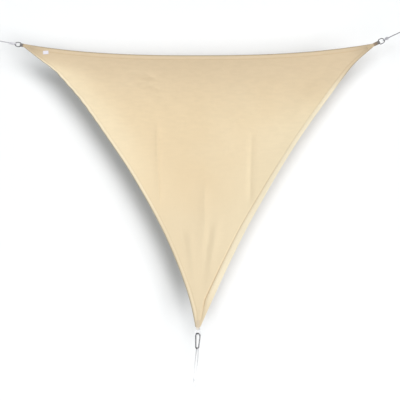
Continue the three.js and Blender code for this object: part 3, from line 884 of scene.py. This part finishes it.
def closed_sheet(name, fronts, backs, rows, columns, material):
    """Front and back faces from two grids of points, and a rim round them."""
    count = (rows + 1) * (columns + 1)

    def at(i, j):
        return i * (columns + 1) + j

    faces = []
    for i in range(rows):
        for j in range(columns):
            a, b, c, d = at(i, j), at(i, j + 1), at(i + 1, j + 1), at(i + 1, j)
            faces += [(a, b, c, d), (d + count, c + count, b + count, a + count)]
    rim = [at(0, j) for j in range(columns)] + [at(i, columns) for i in range(rows)]
    rim += [at(rows, j) for j in range(columns, 0, -1)] + [at(i, 0) for i in range(rows, 0, -1)]
    for here, after in zip(rim, rim[1:] + rim[:1]):
        faces.append((here, here + count, after + count, after))
    return mesh_object(name, fronts + backs, faces, material)


# ---- stitches --------------------------------------------------------------------------

STITCH_PITCH, STITCH_LENGTH, THREAD = 0.0055, 0.0040, 0.0005


def stitches(name, seams):
    """Rows of stitches. A seam is a list of points on a face and the way out of that face."""
    vertices, faces = [], []
    for line, out in seams:
        line = evenly(line, STITCH_PITCH)
        for start, after in zip(line, line[1:]):
            along = (after - start).normalized()
            side = along.cross(out).normalized() * THREAD
            lift = out * THREAD
            base = len(vertices)
            for share, swell in ((0.0, 0.25), (0.3, 1.0), (0.7, 1.0), (1.0, 0.25)):
                middle = start + along * STITCH_LENGTH * share
                for spoke in (side, lift, -side, -lift):
                    vertices.append(middle + spoke * swell)
            for ring in range(3):
                for turn in range(4):
                    a, b = base + 4 * ring + turn, base + 4 * ring + (turn + 1) % 4
                    faces.append((a, a + 4, b + 4, b))
            faces.append((base, base + 1, base + 2, base + 3))
            faces.append((base + 15, base + 14, base + 13, base + 12))
    piece = mesh_object(name, vertices, faces, LOOKS["thread"])
    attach(piece, "root")
    return piece


def hem_seams():
    """Two rows of stitches along each hem, on both faces of the cloth."""
    seams = []
    for back in (-1, 1):
        out = Vector((0, back, 0))
        for inside in (0.80, 0.94):
            for on_right in (False, True):
                line = []
                for k in range(900):
                    height = mix(0.03, 0.985, k / 899)
                    width, left, right = side_hems(height)
                    share = inside * (right if on_right else left) * HEM_SLANT / width
                    place = spot(1 - share if on_right else share, height)
                    line.append(place.point + out * place.thickness / 2)
                seams.append((line, out))
            line = []
            for k in range(900):
                place = spot(mix(0.03, 0.97, k / 899), 1.0, 1 - inside)
                line.append(place.point + out * place.thickness / 2)
            seams.append((line, out))
    return seams


# ---- the corners -----------------------------------------------------------------------

TWIST_STEPS = (0.15, 0.25, 0.35, 0.45, 0.55, 0.65, 0.75, 0.85)   # of the reach to the bend


def tab(side, corner):
    """Webbing folded round the ring's bar, ribbed, with its two legs sewn on the cloth."""
    leg = (HEM_THICK + TAB_THICK) / 2 + GAP
    bend = (RING_WIRE + TAB_THICK) / 2 + GAP
    clear, reach = 0.0008, corner.reach
    front = [(mix(-TAB_LEG, clear, k / 12), leg) for k in range(13)]
    front += [(reach * share, mix(leg, bend, share)) for share in TWIST_STEPS]
    around = []
    for k in range(17):
        turn = math.radians(90 - 180 * k / 16)
        around.append((reach + bend * math.cos(turn), bend * math.sin(turn)))
    line = front + around + [(x, -z) for x, z in reversed(front)]
    selvedge = [0.9, 0.94, 0.985, 1]
    across = [-share for share in reversed(selvedge)]
    across += [mix(-0.86, 0.86, k / 10) for k in range(11)] + selvedge
    section = []
    for face in (1, -1):
        for share in across if face == 1 else reversed(across):
            swell = 0.12 if 0.89 < abs(share) < 0.99 else 0.0
            round_off = 0.45 if abs(share) == 1 else 1.0
            section.append((share * TAB_WIDTH / 2, face * TAB_THICK / 2 * (round_off + swell)))
    vertices, lengths, along = [], [], 0.0
    for k, (x, z) in enumerate(line):
        before, after = line[max(0, k - 1)], line[min(len(line) - 1, k + 1)]
        course = Vector((after[0] - before[0], after[1] - before[1])).normalized()
        along += math.dist(line[k - 1], (x, z)) if k else 0.0
        lengths.append(along)
        twist = math.radians(corner.twist) * ease(clear, reach - bend, x)
        turned = Matrix.Rotation(twist, 4, "X")
        for y, lift in section:
            vertices.append(turned @ Vector((x - lift * course.y, y, z + lift * course.x)))
    sides, rows = len(section), len(line)
    faces = []
    for k in range(rows - 1):
        for i in range(sides):
            a, b = k * sides + i, k * sides + (i + 1) % sides
            faces.append((a, b, b + sides, a + sides))
    faces += [tuple(range(sides))[::-1], tuple((rows - 1) * sides + i for i in range(sides))]
    place = corner_frame(corner.x, corner.z, corner.heading)
    piece = mesh_object(f"webbing_{side}", placed(vertices, place), faces, LOOKS["webbing"])
    lengthwise = piece.data.uv_layers.new(name="along")
    for loop in piece.data.loops:
        k, i = divmod(loop.vertex_index, sides)
        lengthwise.data[loop.index].uv = (section[i][0], lengths[k] - lengths[-1] / 2)
    # Painted shade and light along the tab.
    layer = piece.data.color_attributes.new("painted_shade_and_light", "FLOAT_COLOR", "POINT")
    painted_shade_and_light = [tab_shade_and_light(abs(length - lengths[-1] / 2), reach, side) for length in lengths for _ in section]
    layer.data.foreach_set("color", [value for row in painted_shade_and_light for value in row])
    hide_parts(f"tab_{side}")
    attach(piece, "root")
    return piece


def tab_shade_and_light(from_bend, reach, side):
    """How much painted shade (brown, grey) and painted light (pale) a tab has at a distance from the
    ring's bar.
    """
    free = ease(1.15, 0.90, from_bend / reach)
    if side == "bottom":
        return 0.0, 0.0, mix(0.25, 1.0, free), 1.0
    return free, ease(0.029, 0.022, from_bend), 0.0, 1.0


def tab_seams(corner):
    """A sewn box with a cross in it on each leg of a tab."""
    place = corner_frame(corner.x, corner.z, corner.heading)
    near, far, half = -0.008, -TAB_LEG + 0.006, TAB_WIDTH / 2 - 0.004
    box = [(near, -half), (near, half), (far, half), (far, -half), (near, -half)]
    lines = list(zip(box, box[1:])) + [((near, -half), (far, half)), ((near, half), (far, -half))]
    seams = []
    for face in (1, -1):
        lift = face * ((HEM_THICK + TAB_THICK) / 2 + GAP + TAB_THICK / 2)
        out = (place.to_3x3() @ Vector((0, 0, face))).normalized()
        seams += [(placed([(*start, lift), (*end, lift)], place), out) for start, end in lines]
    return seams


def ring(side, corner):
    """A D of bent wire, welded at the side of its bow. All are one metal: the bottom one painted pale as
    a painted highlight, the others darkened with painted shade.
    """
    finish = "painted_highlight_steel" if side == "bottom" else "steel"
    half = (RING_INSIDE + RING_WIRE) / 2
    bar = [Vector((0, mix(RING_CORNER - half, half - RING_CORNER, k / 6), 0)) for k in range(6)]
    line = bar + arc(RING_CORNER, half - RING_CORNER, RING_CORNER, 180, 90, 6)
    line += arc(RING_DEPTH - half, 0, half, 90, -90, 28)
    line += arc(RING_CORNER, RING_CORNER - half, RING_CORNER, -90, -180, 6)
    line = evenly(line, 0.0015)[:-1]
    weld = 0.052                             # along the wire from the bar's end

    def surface(distance, angle):
        bead = fading(distance - weld, 0.0016)
        return RING_WIRE / 2 * (1 + 0.10 * bead + 0.02 * bead * math.sin(5 * angle))

    place = corner_frame(corner.x, corner.z, corner.heading) @ Matrix.Translation((corner.reach, 0, 0))
    place = place @ Matrix.Rotation(math.radians(corner.twist), 4, "X")
    piece = tube(f"d_ring_{side}", placed(line, place), 18, surface, LOOKS[finish], closed=True)
    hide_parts(f"ring_{side}")
    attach(piece, "root")


def snap_hook(corner):
    """A pear-shaped hook of bent rod: a headed nose, a gate on a rivet, and a narrow foot."""
    out = corner.reach + RING_DEPTH - (RING_WIRE + HOOK_WIRE) / 2 - 2 * GAP
    place = corner_frame(corner.x, corner.z, corner.heading, HOOK_TWIST, out)
    foot_x, foot_y = HOOK_LENGTH - HOOK_FOOT, HOOK_FOOT - HOOK_TOP
    nose, hinge = Vector((*HOOK_NOSE, 0)), Vector((*HOOK_HINGE, 0))
    spine = Vector((mix(HOOK_TOP, foot_x, 0.5), -HOOK_TOP, 0))
    route = [nose, *arc(HOOK_TOP, 0, HOOK_TOP, 90, 270, 10), spine,
             *arc(foot_x, foot_y, HOOK_FOOT, -90, 70, 9), hinge]
    line = spline(route, 0.0016)
    total = sum((b - a).length for a, b in zip(line, line[1:]))

    def body(distance, angle):
        """The nose has a head and a neck behind it, and both ends are rounded off."""
        end = min(distance, total - distance)
        neck = 0.22 * fading(distance - 0.0065, 0.0028)
        return HOOK_WIRE / 2 * (1 - neck) * domed(0.35 + end / 0.003)

    body_piece = tube("hook_rod", placed(line, place), 20, body, LOOKS["steel"])
    lead = 4 * GAP / (hinge - nose).length
    gate_line = evenly([nose.lerp(hinge, lead), nose.lerp(hinge, 1 - lead)], 0.0016)
    length = (gate_line[-1] - gate_line[0]).length

    def gate(distance, angle):
        end = min(distance, length - distance)
        groove = 0.10 * fading(distance - 0.009, 0.0012)
        return HOOK_GATE / 2 * (1 - groove) * domed(0.45 + end / 0.0025)

    gate_piece = tube("hook_gate_rod", placed(gate_line, place), 20, gate, LOOKS["steel"])
    rivet_at = nose.lerp(hinge, 0.90)
    reach = HOOK_GATE / 2 + RIVET_PROUD
    rivet_line = evenly([rivet_at - Vector((0, 0, reach)), rivet_at + Vector((0, 0, reach))], 0.0006)

    def rivet(distance, angle):
        end = min(distance, 2 * reach - distance)
        return RIVET / 2 * domed(0.3 + end / 0.0012)

    rivet_piece = tube("hook_rivet", placed(rivet_line, place), 16, rivet, LOOKS["steel"])
    for piece, node in ((body_piece, "hook_body"), (gate_piece, "hook_gate"), (rivet_piece, None)):
        if node:
            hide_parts(node)
        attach(piece, "root")


def label():
    """A blank satin strip, a little wavy, with its lower corners lifting off the cloth."""
    width, height, thick = LABEL_SIZE
    columns, rows = 26, 18
    fronts, backs = [], []
    turn = Matrix.Rotation(math.radians(-LABEL_TILT), 4, "Y")
    place = Matrix.Translation((LABEL_AT[0], 0, LABEL_AT[1])) @ turn
    cloth_face = -(HEM_THICK / 2 + GAP)
    for i in range(rows + 1):
        for j in range(columns + 1):
            across, up = j / columns - 0.5, i / rows - 0.5
            lift = 0.0012 * ease(0.1, -0.5, up) * (2 * abs(across)) ** 2
            lift += 0.0003 * (1 + math.sin(9 * across + 2)) * ease(0.4, -0.1, up)
            for points, y in ((backs, cloth_face - lift), (fronts, cloth_face - lift - thick)):
                points.append(place @ Vector((across * width, y, up * height)))
    piece = closed_sheet("satin_label", fronts, backs, rows, columns, LOOKS["label"])
    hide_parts("label")
    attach(piece, "root")
    seam_z, face = height / 2 - 0.003, cloth_face - thick
    seam = [place @ Vector((share * width, face, seam_z)) for share in (-0.46, 0.46)]
    return piece, (seam, Vector((0, -1, 0)))


# ---- build -----------------------------------------------------------------------------

camera()
for side in ("left", "right"):
    upper_rope(side, CORNERS[side])
bottom_rope()
lights()
backdrop()

cloth = sail()
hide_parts("sail")
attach(cloth, "root")
tabs, seams = [], []
for side, corner in CORNERS.items():
    tabs.append(tab(side, corner))
    ring(side, corner)
    seams += tab_seams(corner)
snap_hook(CORNERS["bottom"])
tag, tag_seam = label()
hem_thread = stitches("hem_stitches", hem_seams())
tab_thread = stitches("tab_stitches", seams + [tag_seam])
